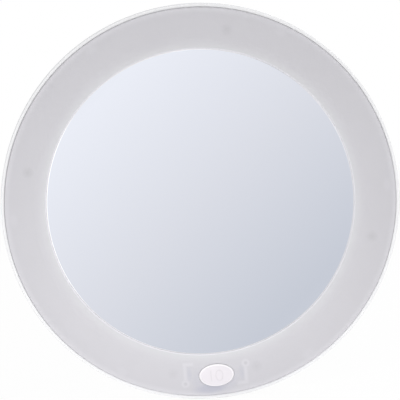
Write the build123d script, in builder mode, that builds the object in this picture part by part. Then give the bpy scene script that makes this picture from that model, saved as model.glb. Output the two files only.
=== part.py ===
from build123d import *
from math import asin, cos, degrees, hypot, radians, sin, sqrt, tan
import os

# Round makeup mirror with a lit ring, held to a wall by three suction cups.
# Millimetres. The wall is the plane Y = 0, the user looks along +Y, and Z is up.
# A height is a distance from the wall towards the user.

os.makedirs("parts", exist_ok=True)

# Driving dimensions of the whole
overall_diameter = 235.0
housing_depth = 24.5
wall_gap = 10.0
ring_face = 26.6
wall = 1.8
overrun = 5.0
bottom_angle = -90.0

# Rear housing
side_slant = 17.5
rim_band = 12.5
back_bend = 12.0
band_bend = 10.0
rim_draft = 1.5
rim_round = 0.4
stiffener_height = 3.0
rib_wall = 1.4
stiffener_margin = 9.0
stiffener_angles = (30, 90, 150, 210, 270, 330)
pillar_diameter = 6.0
pillar_gap = 0.1
trough_rib_angles = (45, 60, 120, 135, 180, 225, 240, 300, 315)
trough_rib_foot = 2.7
seat_ring_diameter = 24.0
seat_ring_wall = 1.6
seat_ring_rise = 1.0

# Diffuser ring
ring_gap = 0.1
ring_wall = 2.0
ring_rise = 1.2
crown_rise = 0.7
skirt_wall = 1.5
skirt_depth = 5.0
lip_wall = 1.8
outer_round = 0.8
roll_width = 7.5
roll_drop = 2.5
lip_round = 0.3
ledge_width = 6.0
ledge_wall = 1.8

# Snap hooks of the ring and their catches in the housing
hook_angles = (30, 90, 150, 210, 270, 330)
hook_inset = 3.5
hook_wall = 1.6
hook_width = 8.0
hook_length = 8.2
barb_depth = 1.0
barb_height = 1.4
catch_gap = 0.3
catch_height = 1.5
catch_width = 9.0

# Mirror glass, concave, and the foam tape behind it
glass_thickness = 2.0
glass_gap = 0.1
glass_curve_radius = 900.0
mirror_recess = 0.3
tape_thickness = 0.8
tape_width = 4.6
tape_gap = 0.1

# Push button
button_length = 20.8
button_width = 13.2
button_gap = 0.2
button_proud = 1.9
button_dome_radius = 60.0
button_round = 0.8
button_wall = 1.5
button_crown = 2.0
button_travel = 1.5
flange_width = 1.6
flange_thickness = 1.2
flange_gap = 0.3

# Push switch
switch_side = 8.5
switch_height = 6.4
switch_clearance = 0.5
switch_roof = 1.1
plunger_side = 3.8
plunger_gap = 0.2
plunger_foot_side = 5.2
plunger_foot_height = 1.2
socket_wall = 1.3
socket_gap = 0.1
pin_pitch = 2.5
pin_row_gap = 5.0
pin_width = 0.6
pin_length = 3.2
pin_hole_gap = 0.15

# Boards
board_thickness = 1.6
board_reach_in = 7.35
board_reach_out = 8.05
board_half_length = 31.3
board_corner = 1.5
led_board_width = 11.0
led_board_half_length = 7.2
led_board_angles = {"right": 72.7, "top": 165.6, "left": 255.4}
stake_spacing = 9.0
stake_diameter = 1.6
stake_post_diameter = 3.6
stake_gap = 0.15
stake_proud = 0.5

# Bosses and L ribs under the ring, as offsets from the button, and their screws
boss_offset = (18.35, 4.8)
boss_diameter = 4.5
pilot_diameter = 1.7
pilot_depth = 7.5
l_rib_wall = 1.5
l_rib_reach = (18.7, 6.9)
l_rib_foot = 6.2
l_rib_height = 5.0
screw_length = 8.0
screw_head_diameter = 4.0
screw_head_height = 1.4
screw_fit = 0.05
screw_hole_gap = 0.4

# LEDs
lower_led_reach = {"lower_right": 25.0, "lower_left": -25.75}
led_diameter = 5.0
led_length = 8.6
led_flange_diameter = 5.8
led_flange_height = 1.0
leg_pitch = 2.54
leg_side = 0.5
leg_tail = 1.2
leg_hole_gap = 0.15
resistor_size = (3.2, 1.6, 0.6)
resistor_edge = 0.4

# Leads
lead_diameter = 1.2
lead_clearance = 0.1
lead_chamfer_share = 0.25
lead_board_offset = (9.0, 2.6)
clip_wall = 1.0
clip_height = 2.4
clip_length = 4.0
clip_rises = (37.0, 19.0)

# Route of the battery leads, from the contacts' tabs down to the floor and to the board
bend_share = 0.45
lead_start_run = 5.5
lead_dive_reach = 2.0
lead_dive_drop = 8.0
lead_corner_reach = 2.5
lead_corner_drop = 9.0
lead_gather_half = 12.0
lead_gather_share = 0.51
lead_line_above = 6.0
lead_bow = 0.4
lead_rise_start = 6.0
lead_rise_drop = 5.0

# Cells and their compartment
cell_diameter = 10.5
cell_length = 44.5
cell_nub_diameter = 3.8
cell_nub_length = 0.8
cell_crimp = 0.5
cell_gap = 0.5
cell_door_gap = 0.4
cell_floor_gap = 0.2
cell_side_gap = 0.8
well_wall = 1.5
well_floor = 1.4
well_corner = 1.0
spring_length = 5.0
divider_height = 3.0

# Contacts of folded strip
strip_thickness = 0.4
plate_height = 9.2
plate_width = 9.0
leaf_width = 4.5
leaf_bend = 0.9
leaf_fold_share = 0.33
tab_width = 2.5
tab_reach = 2.5
tab_gap = 0.3

# Battery door and its latch finger
door_gap = 0.3
door_wall = 1.8
tongue_spacing = 28.0
tongue_width = 8.0
tongue_reach = 2.5
tongue_thickness = 1.2
tongue_gap = 0.2
door_rib_wall = 1.0
door_rib_height = 1.8
latch_width = 12.0
latch_strip = 1.0
latch_bend = 2.0
latch_depth = 4.2
hook_nose = 1.0
hook_nose_height = 1.4
grip_count = 3
grip_pitch = 2.2
grip_width = 1.0
grip_depth = 0.5
grip_length = 10.0

# Suction cups
cup_edge_margin = 10.0
cup_diameter = 44.0
cup_lip_width = 1.6
cup_lip_thickness = 0.9
cup_hollow = 3.6
cup_dome_bulge = 0.9
cup_shoulder_diameter = 16.0
cup_shoulder_height = 3.6
cup_neck_diameter = 8.0
cup_neck_gap = 0.3
cup_head_diameter = 12.0
cup_head_height = 3.0
cup_angles = {"top": 180, "left": 300, "right": 60}


def arc_radius(width, drop):
    """The radius of an arc that starts level and drops so much over a width."""
    return (width**2 + drop**2) / (2 * drop)


def arc_drop(width, radius):
    """How much an arc that starts level has dropped after a width."""
    return radius - sqrt(radius**2 - width**2)


# Heights from the wall
back_height = wall_gap
floor_height = back_height + wall
rim_height = back_height + housing_depth
band_height = rim_height - rim_band
shelf_height = rim_height - skirt_depth
edge_height = rim_height + ring_rise
crown_height = edge_height + crown_rise
under_height = crown_height - ring_wall
lip_height = crown_height - roll_drop
glass_edge_height = lip_height - mirror_recess
ledge_front = glass_edge_height - glass_thickness - tape_thickness
ledge_back = ledge_front - ledge_wall

# Radii from the axis
outer_radius = overall_diameter / 2
back_radius = outer_radius - side_slant
band_radius = outer_radius - rim_draft
ring_radius = outer_radius - wall - ring_gap
skirt_radius = ring_radius - skirt_wall
opening_radius = outer_radius - ring_face
lip_radius = opening_radius + lip_wall
ledge_radius = opening_radius - ledge_width
glass_radius = opening_radius - glass_gap
middle_radius = (outer_radius - wall + opening_radius) / 2
board_half_angle = degrees(board_half_length / middle_radius)
led_board_half_angle = degrees(led_board_half_length / middle_radius)
led_angles = {name: degrees(reach / middle_radius) for name, reach in lower_led_reach.items()}
led_angles.update(led_board_angles)
hook_radius = skirt_radius - hook_inset
board_inner_radius = middle_radius - board_reach_in
board_outer_radius = middle_radius + board_reach_out
cup_circle_radius = back_radius - cup_edge_margin - cup_diameter / 2
clip_levels = [rise - middle_radius for rise in clip_rises]
trough_rib_low = floor_height + trough_rib_foot

# Button, switch and board, stacked down from the ring
button_top = crown_height + button_proud
flange_reach = button_width / 2 + flange_width
roll_radius = opening_radius + roll_width
roll_ball = arc_radius(roll_width, roll_drop)
crown_ball = arc_radius(ring_radius - roll_radius, crown_rise)
under_drop = max(
    arc_drop(middle_radius - flange_reach - roll_radius, roll_ball - ring_wall),
    arc_drop(middle_radius + flange_reach - roll_radius, crown_ball - ring_wall),
)
flange_front = under_height - under_drop - flange_gap
flange_back = flange_front - flange_thickness
crown_under = button_top - button_crown
switch_top = flange_back - button_travel - switch_clearance
board_front = switch_top - switch_height
board_back = board_front - board_thickness
plunger_hole_side = plunger_side + 2 * plunger_gap
foot_room_top = switch_top - switch_roof
foot_top = foot_room_top - plunger_gap
foot_bottom = foot_top - plunger_foot_height
foot_room_bottom = foot_bottom - button_travel - plunger_gap
foot_room_side = plunger_foot_side + 2 * plunger_gap

# Compartment
cell_radius = cell_diameter / 2
cell_pitch = cell_diameter + cell_gap
cell_levels = {"upper": cell_pitch, "middle": 0, "lower": -cell_pitch}
cell_height = back_height + door_wall + cell_door_gap + cell_radius
well_depth = cell_height + cell_radius + cell_floor_gap
well_outer_height = well_depth + well_floor
plate_face = (cell_length + spring_length) / 2
well_half_length = plate_face + strip_thickness
well_half_width = cell_pitch + cell_radius + cell_side_gap
well_bottom = -well_half_width
leaf_top = well_depth - plate_height
tab_height = well_depth - strip_thickness - tab_gap

# Latch finger, from the door's edge outwards
notch_gap = door_gap
leg_inner = well_half_width + tab_gap
tab_edge = leg_inner + latch_strip
finger_inner = leg_inner + 2 * latch_bend - latch_strip
finger_outer = finger_inner + latch_strip
notch_edge = finger_outer + notch_gap
nose_edge = finger_outer + hook_nose
pocket_edge = nose_edge + 2 * notch_gap + door_rib_wall
pocket_depth = floor_height + latch_depth + latch_bend + 2 * notch_gap
stiffener_start = hypot(well_half_length, pocket_edge) + stiffener_margin

# Slots for the tongues, wide enough for the arc that they swing through
tongue_front = floor_height + tongue_gap
tongue_back = tongue_front + tongue_thickness
tongue_swing = hypot(tongue_reach, tongue_back - back_height) + tongue_gap


def facing(height):
    """A plane parallel to the wall, as the user sees it: x to the right and y up."""
    return Plane(origin=(0, -height, 0), x_dir=(1, 0, 0), z_dir=(0, -1, 0))


def beside(x):
    """An upright plane square to the wall: x is up and y is the height from the wall."""
    return Plane(origin=(x, 0, 0), x_dir=(0, 0, 1), z_dir=(1, 0, 0))


def level(z):
    """A level plane: x to the right and y is the height from the wall."""
    return Plane(origin=(0, 0, z), x_dir=(1, 0, 0), z_dir=(0, 0, -1))


def towards(angle):
    """The direction from the axis at an angle from the bottom, turning to the right."""
    return (sin(radians(angle)), -cos(radians(angle)))


def radial(angle):
    """A plane through the axis: x is the radius at that angle and y the height."""
    x, z = towards(angle)
    return Plane(origin=(0, 0, 0), x_dir=(x, 0, z), z_dir=(z, 0, -x))


def spot(radius, angle, across=0):
    """A place on a circle about the axis, in a facing plane, turned with the circle."""
    x, y = towards(angle)
    return Location((radius * x - across * y, radius * y + across * x, 0), (0, 0, angle))


def stand(place_radius, angle):
    """A level plane whose origin is a place on the wall, to revolve small round pieces."""
    x, z = towards(angle)
    origin = (place_radius * x, 0, place_radius * z)
    return Plane(origin=origin, x_dir=(1, 0, 0), z_dir=(0, 0, -1))


def stand_axis(place_radius, angle):
    """The axis square to the wall through the same place."""
    x, z = towards(angle)
    return Axis((place_radius * x, 0, place_radius * z), (0, 1, 0))


def glass_height(radius, curve_radius):
    """Height of a sphere about the glass's centre of curvature."""
    centre = glass_edge_height + sqrt(glass_curve_radius**2 - glass_radius**2)
    return centre - sqrt(curve_radius**2 - radius**2)


def finish(piece, name):
    """Label a piece and write it."""
    piece.label = name
    export_step(piece, f"parts/{name}.step")


user_axis = Axis((0, 0, 0), (0, -1, 0))
button_spot = Location((0, -middle_radius, 0))


def dish_corners(start, top):
    """The housing's filled outline, from a start radius along the back and up the side.

    The side leans in a little behind the rim, so that it leaves its mould.
    """
    return (
        (start, back_height),
        (back_radius, back_height),
        (band_radius, band_height),
        (outer_radius, shelf_height),
        (outer_radius, top),
        (start, top),
    )


def round_dish(sketch):
    """Round the two bends of the housing's side."""
    fillet(sketch.vertices().sort_by_distance((back_radius, back_height))[0], back_bend)
    fillet(sketch.vertices().sort_by_distance((band_radius, band_height))[0], band_bend)


# Inside of the housing, as the space left between its walls, ribs and posts
with BuildPart() as housing_space:
    with BuildSketch(level(0)) as space_outline:
        with BuildLine():
            Polyline(*dish_corners(-wall, rim_height + wall + overrun), close=True)
        make_face()
        round_dish(space_outline)
        offset(amount=-wall)
    revolve(axis=Axis.Y)
    # walls of the cell compartment and of the latch's pocket
    with BuildSketch(facing(0)):
        Rectangle(2 * (well_half_length + well_wall), 2 * (well_half_width + well_wall))
    extrude(amount=well_outer_height, mode=Mode.SUBTRACT)
    with BuildSketch(facing(0)):
        with Locations((0, (well_half_width + pocket_edge + well_wall) / 2)):
            pocket_outer_width = latch_width + 2 * (notch_gap + well_wall)
            Rectangle(pocket_outer_width, pocket_edge + well_wall - well_half_width)
    extrude(amount=pocket_depth + well_wall, mode=Mode.SUBTRACT)
    # low stiffeners from the middle to the trough
    with BuildSketch(facing(0)):
        for angle in stiffener_angles:
            with Locations(spot((stiffener_start + back_radius) / 2, angle)):
                Rectangle(rib_wall, back_radius - stiffener_start)
    extrude(amount=floor_height + stiffener_height, mode=Mode.SUBTRACT)
    # pillars under the mirror's ledge
    with BuildSketch(facing(0)):
        for angle in hook_angles:
            with Locations(spot(opening_radius - ledge_width / 2, angle)):
                Circle(pillar_diameter / 2)
    extrude(amount=ledge_back - pillar_gap, mode=Mode.SUBTRACT)
    # ribs across the trough, which carry the ring's skirt and hold the lead in a notch
    for angle in trough_rib_angles:
        with BuildSketch(radial(angle)):
            with BuildLine():
                Polyline(
                    (ledge_radius, 0),
                    (ledge_radius, trough_rib_low),
                    (lip_radius, trough_rib_low),
                    (middle_radius - led_board_width / 2, board_front),
                    (middle_radius - lead_diameter - lead_clearance, board_front),
                    (middle_radius - lead_diameter - lead_clearance, board_back),
                    (middle_radius + lead_diameter + lead_clearance, board_back),
                    (middle_radius + lead_diameter + lead_clearance, board_front),
                    (middle_radius + led_board_width / 2, board_front),
                    (skirt_radius - skirt_wall, shelf_height),
                    (outer_radius, shelf_height),
                    (outer_radius, 0),
                    close=True,
                )
            make_face()
        extrude(amount=rib_wall / 2, both=True, mode=Mode.SUBTRACT)
    # clips, a pair of small walls each, that hold the battery leads
    with BuildSketch(facing(0)):
        for side in (-1, 1):
            for clip_level in clip_levels:
                with Locations((side * lead_board_offset[0], clip_level)):
                    with GridLocations(lead_diameter + 2 * lead_clearance + clip_wall, 0, 2, 1):
                        Rectangle(clip_wall, clip_length)
    extrude(amount=floor_height + clip_height, mode=Mode.SUBTRACT)
    # catches for the ring's snap hooks
    for angle in hook_angles:
        catch_low = under_height - hook_length + barb_height + catch_gap
        catch_inner = hook_radius + hook_wall / 2 + catch_gap
        with BuildSketch(radial(angle)):
            with Locations(((catch_inner + outer_radius) / 2, catch_low + catch_height / 2)):
                Rectangle(outer_radius - catch_inner, catch_height)
        extrude(amount=catch_width / 2, both=True, mode=Mode.SUBTRACT)
    # posts and stakes of the three small boards
    for angle in led_board_angles.values():
        for side in (-1, 1):
            with BuildSketch(facing(0)):
                with Locations(spot(middle_radius, angle, side * stake_spacing / 2)):
                    Circle(stake_post_diameter / 2)
            extrude(amount=board_back, mode=Mode.SUBTRACT)
            with BuildSketch(facing(0)):
                with Locations(spot(middle_radius, angle, side * stake_spacing / 2)):
                    Circle(stake_diameter / 2)
            extrude(amount=board_front + stake_proud, mode=Mode.SUBTRACT)

with BuildPart() as rear_housing:
    with BuildSketch(level(0)) as dish_outline:
        with BuildLine():
            Polyline(*dish_corners(0, rim_height), close=True)
        make_face()
        round_dish(dish_outline)
        rim_corner = dish_outline.vertices().sort_by_distance((outer_radius, rim_height))[0]
        fillet(rim_corner, rim_round)
    revolve(axis=Axis.Y)
    add(housing_space.part, mode=Mode.SUBTRACT)
    # compartment, opening for the latch and the pocket behind it
    with BuildSketch(facing(0)) as well_outline:
        Rectangle(2 * well_half_length, 2 * well_half_width)
        fillet(well_outline.vertices(), well_corner)
    extrude(amount=well_depth, mode=Mode.SUBTRACT)
    with BuildSketch(facing(0)):
        with Locations((0, notch_edge / 2)):
            Rectangle(latch_width + 2 * notch_gap, notch_edge)
    extrude(amount=floor_height, mode=Mode.SUBTRACT)
    with BuildSketch(facing(floor_height)):
        with Locations((0, pocket_edge / 2)):
            Rectangle(latch_width + 2 * notch_gap, pocket_edge)
    extrude(amount=pocket_depth - floor_height, mode=Mode.SUBTRACT)
    # slots for the door's tongues
    with BuildSketch(facing(floor_height)):
        with GridLocations(tongue_spacing, 0, 2, 1):
            with Locations((0, well_bottom - tongue_swing / 2)):
                Rectangle(tongue_width + 2 * door_gap, tongue_swing)
    extrude(amount=back_height + tongue_swing - floor_height, mode=Mode.SUBTRACT)
    # slots for the contacts' tabs
    for cell in ("upper", "lower"):
        side = 1 if cell == "upper" else -1
        with BuildSketch(beside(side * well_half_length)):
            with Locations((cell_levels[cell], tab_height + strip_thickness / 2)):
                Rectangle(tab_width + 2 * tab_gap, strip_thickness + 2 * tab_gap)
        extrude(amount=side * (well_wall + tab_gap), mode=Mode.SUBTRACT)
    # low dividers between the cells
    with BuildSketch(facing(well_outer_height)):
        with GridLocations(0, cell_pitch, 1, 2):
            Rectangle(cell_length / 2, cell_gap)
    extrude(amount=-(well_floor + divider_height))
    # seats and holes of the suction cups
    with BuildSketch(facing(back_height)):
        for angle in cup_angles.values():
            with Locations(spot(cup_circle_radius, angle)):
                Circle(seat_ring_diameter / 2)
                Circle(seat_ring_diameter / 2 - seat_ring_wall, mode=Mode.SUBTRACT)
    extrude(amount=-seat_ring_rise)
    with BuildSketch(facing(0)):
        for angle in cup_angles.values():
            with Locations(spot(cup_circle_radius, angle)):
                Circle(cup_neck_diameter / 2 + cup_neck_gap)
    extrude(amount=floor_height, mode=Mode.SUBTRACT)
finish(rear_housing.part, "rear_housing")

with BuildSketch() as l_rib:
    with BuildLine():
        Polyline(
            (l_rib_reach[0], boss_offset[1]),
            (l_rib_reach[0], -l_rib_reach[1]),
            (l_rib_reach[0] - l_rib_foot, -l_rib_reach[1]),
        )
    trace(line_width=l_rib_wall)


def level_arc(end_radius, top, radius):
    """An arc that leaves the crown's highest circle level and falls to an end radius."""
    width = end_radius - roll_radius
    half_turn = asin(width / radius) / 2
    halfway = (roll_radius + radius * sin(half_turn), top - radius * (1 - cos(half_turn)))
    end = (end_radius, top - arc_drop(width, radius))
    return ThreePointArc((roll_radius, top), halfway, end)


with BuildPart() as diffuser_ring:
    with BuildSketch(level(0)) as ring_outline:
        with BuildLine():
            # the crown falls away gently to the outside and rolls down to the mirror
            crown = level_arc(ring_radius, crown_height, crown_ball)
            roll = level_arc(opening_radius, crown_height, roll_ball)
            crown_inside = level_arc(skirt_radius, under_height, crown_ball - ring_wall)
            roll_inside = level_arc(lip_radius, under_height, roll_ball - ring_wall)
            Polyline(
                roll @ 1,
                (opening_radius, ledge_front),
                (ledge_radius, ledge_front),
                (ledge_radius, ledge_back),
                (lip_radius, ledge_back),
                roll_inside @ 1,
            )
            Polyline(
                crown_inside @ 1, (skirt_radius, shelf_height), (ring_radius, shelf_height), crown @ 1
            )
        make_face()
        fillet(ring_outline.vertices().sort_by_distance((ring_radius, edge_height))[0], outer_round)
        fillet(ring_outline.vertices().sort_by_distance((opening_radius, lip_height))[0], lip_round)
    revolve(axis=Axis.Y)
    # screw bosses and L ribs on both sides of the button, turned half round from each other
    rib_base = crown_height - ring_wall / 2
    for side in (-1, 1):
        with BuildSketch(facing(board_front)):
            with Locations(button_spot * Location((side * boss_offset[0], side * boss_offset[1]))):
                Circle(boss_diameter / 2)
        extrude(amount=rib_base - board_front)
        with BuildSketch(facing(under_height - l_rib_height)):
            with Locations(button_spot * Location((0, 0, 0), (0, 0, 90 - side * 90))):
                add(l_rib.sketch)
        extrude(amount=rib_base - under_height + l_rib_height)
    # snap hooks
    for angle in hook_angles:
        hook_low = under_height - hook_length
        hook_inner = hook_radius - hook_wall / 2
        hook_outer = hook_radius + hook_wall / 2
        with BuildSketch(radial(angle)):
            with BuildLine():
                Polyline(
                    (hook_inner, rib_base - crown_rise / 2),
                    (hook_inner, hook_low),
                    (hook_outer, hook_low),
                    (hook_outer + barb_depth, hook_low + barb_height),
                    (hook_outer, hook_low + barb_height),
                    (hook_outer, rib_base - crown_rise / 2),
                    close=True,
                )
            make_face()
        extrude(amount=hook_width / 2, both=True)
    # hole of the button
    with BuildSketch(facing(board_front)):
        with Locations(button_spot):
            Ellipse(button_length / 2 + button_gap, button_width / 2 + button_gap)
    extrude(amount=button_top - board_front, mode=Mode.SUBTRACT)
    # pilot holes of the bosses
    with BuildSketch(facing(board_front)):
        for side in (-1, 1):
            with Locations(button_spot * Location((side * boss_offset[0], side * boss_offset[1]))):
                Circle(pilot_diameter / 2)
    extrude(amount=pilot_depth, mode=Mode.SUBTRACT)
finish(diffuser_ring.part, "diffuser_ring")

with BuildPart() as mirror_glass:
    with BuildSketch(level(0)):
        with BuildLine():
            back_curve = glass_curve_radius + glass_thickness
            front = ThreePointArc(
                (0, glass_height(0, glass_curve_radius)),
                (glass_radius / 2, glass_height(glass_radius / 2, glass_curve_radius)),
                (glass_radius, glass_edge_height),
            )
            back = ThreePointArc(
                (0, glass_height(0, back_curve)),
                (glass_radius / 2, glass_height(glass_radius / 2, back_curve)),
                (glass_radius, glass_height(glass_radius, back_curve)),
            )
            Line(front @ 0, back @ 0)
            Line(front @ 1, back @ 1)
        make_face()
    revolve(axis=Axis.Y)
finish(mirror_glass.part, "mirror_glass")

with BuildPart() as mirror_tape:
    with BuildSketch(level(0)):
        with BuildLine():
            tape_outer = glass_radius - glass_gap
            tape_inner = tape_outer - tape_width
            Polyline(
                (tape_inner, ledge_front),
                (tape_outer, ledge_front),
                (tape_outer, glass_height(tape_outer, back_curve) - tape_gap),
                (tape_inner, glass_height(tape_inner, back_curve) - tape_gap),
                close=True,
            )
        make_face()
    revolve(axis=Axis.Y)
finish(mirror_tape.part, "mirror_tape")

with BuildPart() as power_button:
    with BuildSketch(facing(flange_back)):
        with Locations(button_spot):
            Ellipse(button_length / 2 + flange_width, button_width / 2 + flange_width)
    extrude(amount=flange_thickness)
    with BuildSketch(facing(flange_back)):
        with Locations(button_spot):
            Ellipse(button_length / 2, button_width / 2)
    extrude(amount=button_top - flange_back)
    with Locations((0, button_dome_radius - button_top, -middle_radius)):
        Sphere(button_dome_radius, mode=Mode.INTERSECT)
    fillet(power_button.faces().sort_by(Axis.Y)[0].edges(), button_round)
    with BuildSketch(facing(flange_back)):
        with Locations(button_spot):
            Ellipse(button_length / 2 - button_wall, button_width / 2 - button_wall)
    extrude(amount=crown_under - flange_back, mode=Mode.SUBTRACT)
    with BuildSketch(facing(flange_back)):
        with Locations(button_spot):
            socket_side = plunger_side + 2 * socket_gap
            Rectangle(socket_side + 2 * socket_wall, socket_side + 2 * socket_wall)
            Rectangle(socket_side, socket_side, mode=Mode.SUBTRACT)
    extrude(amount=crown_under - flange_back)
finish(power_button.part, "power_button")

with BuildPart() as switch_plunger:
    with BuildSketch(facing(foot_bottom)):
        with Locations(button_spot):
            Rectangle(plunger_foot_side, plunger_foot_side)
    extrude(amount=plunger_foot_height)
    with BuildSketch(facing(foot_top)):
        with Locations(button_spot):
            Rectangle(plunger_side, plunger_side)
    extrude(amount=crown_under - foot_top)
finish(switch_plunger.part, "switch_plunger")

with BuildPart() as switch_body:
    with BuildSketch(facing(board_front)):
        with Locations(button_spot):
            Rectangle(switch_side, switch_side)
    extrude(amount=switch_height)
    with BuildSketch(facing(foot_room_bottom)):
        with Locations(button_spot):
            Rectangle(foot_room_side, foot_room_side)
    extrude(amount=foot_room_top - foot_room_bottom, mode=Mode.SUBTRACT)
    with BuildSketch(facing(foot_room_bottom)):
        with Locations(button_spot):
            Rectangle(plunger_hole_side, plunger_hole_side)
    extrude(amount=switch_top - foot_room_bottom, mode=Mode.SUBTRACT)
finish(switch_body.part, "switch_body")

with BuildPart() as switch_pins:
    with BuildSketch(facing(board_front)):
        with Locations(button_spot):
            with GridLocations(pin_pitch, pin_row_gap, 3, 2):
                Rectangle(pin_width, pin_width)
    extrude(amount=-pin_length)
finish(switch_pins.part, "switch_pins")


def sector(inner, outer, start, end):
    """Part of a flat ring about the axis, between two angles from the bottom."""
    with BuildSketch() as outline:
        with BuildLine():
            outside = CenterArc((0, 0), outer, start + bottom_angle, end - start)
            inside = CenterArc((0, 0), inner, start + bottom_angle, end - start)
            Line(outside @ 0, inside @ 0)
            Line(outside @ 1, inside @ 1)
        make_face()
    return outline.sketch


def leg_holes(angle):
    """Holes of an LED's two legs in its board."""
    for side in (-1, 1):
        with Locations(spot(middle_radius, angle, side * leg_pitch / 2)):
            Circle(leg_side / 2 + leg_hole_gap, mode=Mode.SUBTRACT)


with BuildPart() as switch_board:
    with BuildSketch(facing(board_back)) as board_outline:
        add(sector(board_inner_radius, board_outer_radius, -board_half_angle, board_half_angle))
        fillet(board_outline.vertices(), board_corner)
        leg_holes(led_angles["lower_right"])
        leg_holes(led_angles["lower_left"])
        with Locations(button_spot):
            with GridLocations(pin_pitch, pin_row_gap, 3, 2):
                Rectangle(pin_width + 2 * pin_hole_gap, pin_width + 2 * pin_hole_gap, mode=Mode.SUBTRACT)
        for side in (-1, 1):
            with Locations(button_spot * Location((side * boss_offset[0], side * boss_offset[1]))):
                Circle(pilot_diameter / 2 + screw_hole_gap, mode=Mode.SUBTRACT)
    extrude(amount=board_thickness)
finish(switch_board.part, "switch_board")

for name, angle in led_board_angles.items():
    with BuildPart() as led_board:
        with BuildSketch(facing(board_back)):
            inner_edge = middle_radius - led_board_width / 2
            outer_edge = middle_radius + led_board_width / 2
            ends = (angle - led_board_half_angle, angle + led_board_half_angle)
            add(sector(inner_edge, outer_edge, *ends))
            leg_holes(angle)
            for side in (-1, 1):
                with Locations(spot(middle_radius, angle, side * stake_spacing / 2)):
                    Circle(stake_diameter / 2 + stake_gap, mode=Mode.SUBTRACT)
        extrude(amount=board_thickness)
    finish(led_board.part, f"led_board_{name}")

for name, angle in led_angles.items():
    with BuildPart() as led:
        with BuildSketch(facing(board_front)):
            with Locations(spot(middle_radius, angle)):
                Circle(led_flange_diameter / 2)
        extrude(amount=led_flange_height)
        with BuildSketch(stand(middle_radius, angle)):
            with BuildLine():
                lens_start = board_front + led_length - led_diameter / 2
                lens = CenterArc((0, lens_start), led_diameter / 2, 0, 90)
                Polyline(
                    lens @ 1, (0, board_front), (led_diameter / 2, board_front), lens @ 0
                )
            make_face()
        revolve(axis=stand_axis(middle_radius, angle))
    finish(led.part, f"led_{name}")

with BuildPart() as led_legs:
    with BuildSketch(facing(board_front)):
        for angle in led_angles.values():
            for side in (-1, 1):
                with Locations(spot(middle_radius, angle, side * leg_pitch / 2)):
                    Rectangle(leg_side, leg_side)
    extrude(amount=-(board_thickness + leg_tail))
finish(led_legs.part, "led_legs")

with BuildPart() as ballast_resistors:
    with BuildSketch(facing(board_front)):
        for angle in led_angles.values():
            resistor_radius = middle_radius + led_board_width / 2 - resistor_edge - resistor_size[1] / 2
            with Locations(spot(resistor_radius, angle)):
                Rectangle(resistor_size[0], resistor_size[1])
    extrude(amount=resistor_size[2])
finish(ballast_resistors.part, "ballast_resistors")

with BuildPart() as board_screws:
    with BuildSketch(facing(board_back)):
        for side in (-1, 1):
            with Locations(button_spot * Location((side * boss_offset[0], side * boss_offset[1]))):
                Circle(pilot_diameter / 2 - screw_fit)
    extrude(amount=screw_length)
    with BuildSketch(facing(board_back)):
        for side in (-1, 1):
            with Locations(button_spot * Location((side * boss_offset[0], side * boss_offset[1]))):
                Circle(screw_head_diameter / 2)
    extrude(amount=-screw_head_height)
finish(board_screws.part, "board_screws")

# Twin lead round the trough, between the boards' edges
lead_spans = (
    (board_half_angle, led_board_angles["right"] - led_board_half_angle),
    (
        led_board_angles["right"] + led_board_half_angle,
        led_board_angles["top"] - led_board_half_angle,
    ),
    (led_board_angles["left"] + led_board_half_angle, 360 - board_half_angle),
)
for name, inner in (("red", middle_radius), ("black", middle_radius - lead_diameter)):
    with BuildPart() as ring_lead:
        for start, end in lead_spans:
            with BuildSketch(radial(start)) as lead_section:
                with Locations((inner, board_back + lead_clearance)):
                    Rectangle(lead_diameter, lead_diameter, align=(Align.MIN, Align.MIN))
                chamfer(lead_section.vertices(), lead_diameter * lead_chamfer_share)
            revolve(axis=user_axis, revolution_arc=end - start)
    finish(ring_lead.part, f"ring_lead_{name}")


def bend_radii(points):
    """The largest radius that each bend's two runs allow."""
    corners = [Vector(point) for point in points]
    radii = []
    for before, at, after in zip(corners, corners[1:], corners[2:]):
        turn = (at - before).get_angle(after - at)
        shorter = min((at - before).length, (after - at).length)
        radii.append(bend_share * shorter / tan(radians(turn / 2)))
    return radii


# Leads from the contacts to the switch board, along the floor of the housing
for name, cell in (("red", "upper"), ("black", "lower")):
    side = 1 if cell == "upper" else -1
    tab_end = well_half_length + well_wall + tab_reach
    tab_middle = tab_height + strip_thickness / 2
    lead_height = floor_height + lead_diameter / 2 + lead_clearance
    start_level = cell_levels[cell]
    end_level = -middle_radius + lead_board_offset[1]
    run_end = tab_end + lead_start_run
    corner_level = well_bottom - lead_corner_drop
    line_level = clip_levels[0] + lead_line_above
    gather_level = well_bottom + (clip_levels[0] - well_bottom) * lead_gather_share
    board_spot = side * lead_board_offset[0]
    route = [
        (side * tab_end, -tab_middle, start_level),
        (side * run_end, -tab_middle, start_level),
        (side * (run_end + lead_dive_reach), -lead_height, start_level - lead_dive_drop),
        (side * (tab_end + lead_corner_reach), -lead_height, corner_level),
        (side * lead_gather_half, -lead_height, gather_level),
        (board_spot, -lead_height, line_level),
        (board_spot, -lead_height - lead_bow, end_level + lead_rise_start),
        (board_spot, -board_back + lead_rise_drop, end_level),
        (board_spot, -board_back, end_level),
    ]
    with BuildPart() as battery_lead:
        with BuildLine() as lead_path:
            FilletPolyline(*route, radius=bend_radii(route))
        with BuildSketch(Plane(origin=lead_path.line @ 0, z_dir=lead_path.line % 0)):
            Circle(lead_diameter / 2)
        sweep()
    finish(battery_lead.part, f"battery_lead_{name}")


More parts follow.
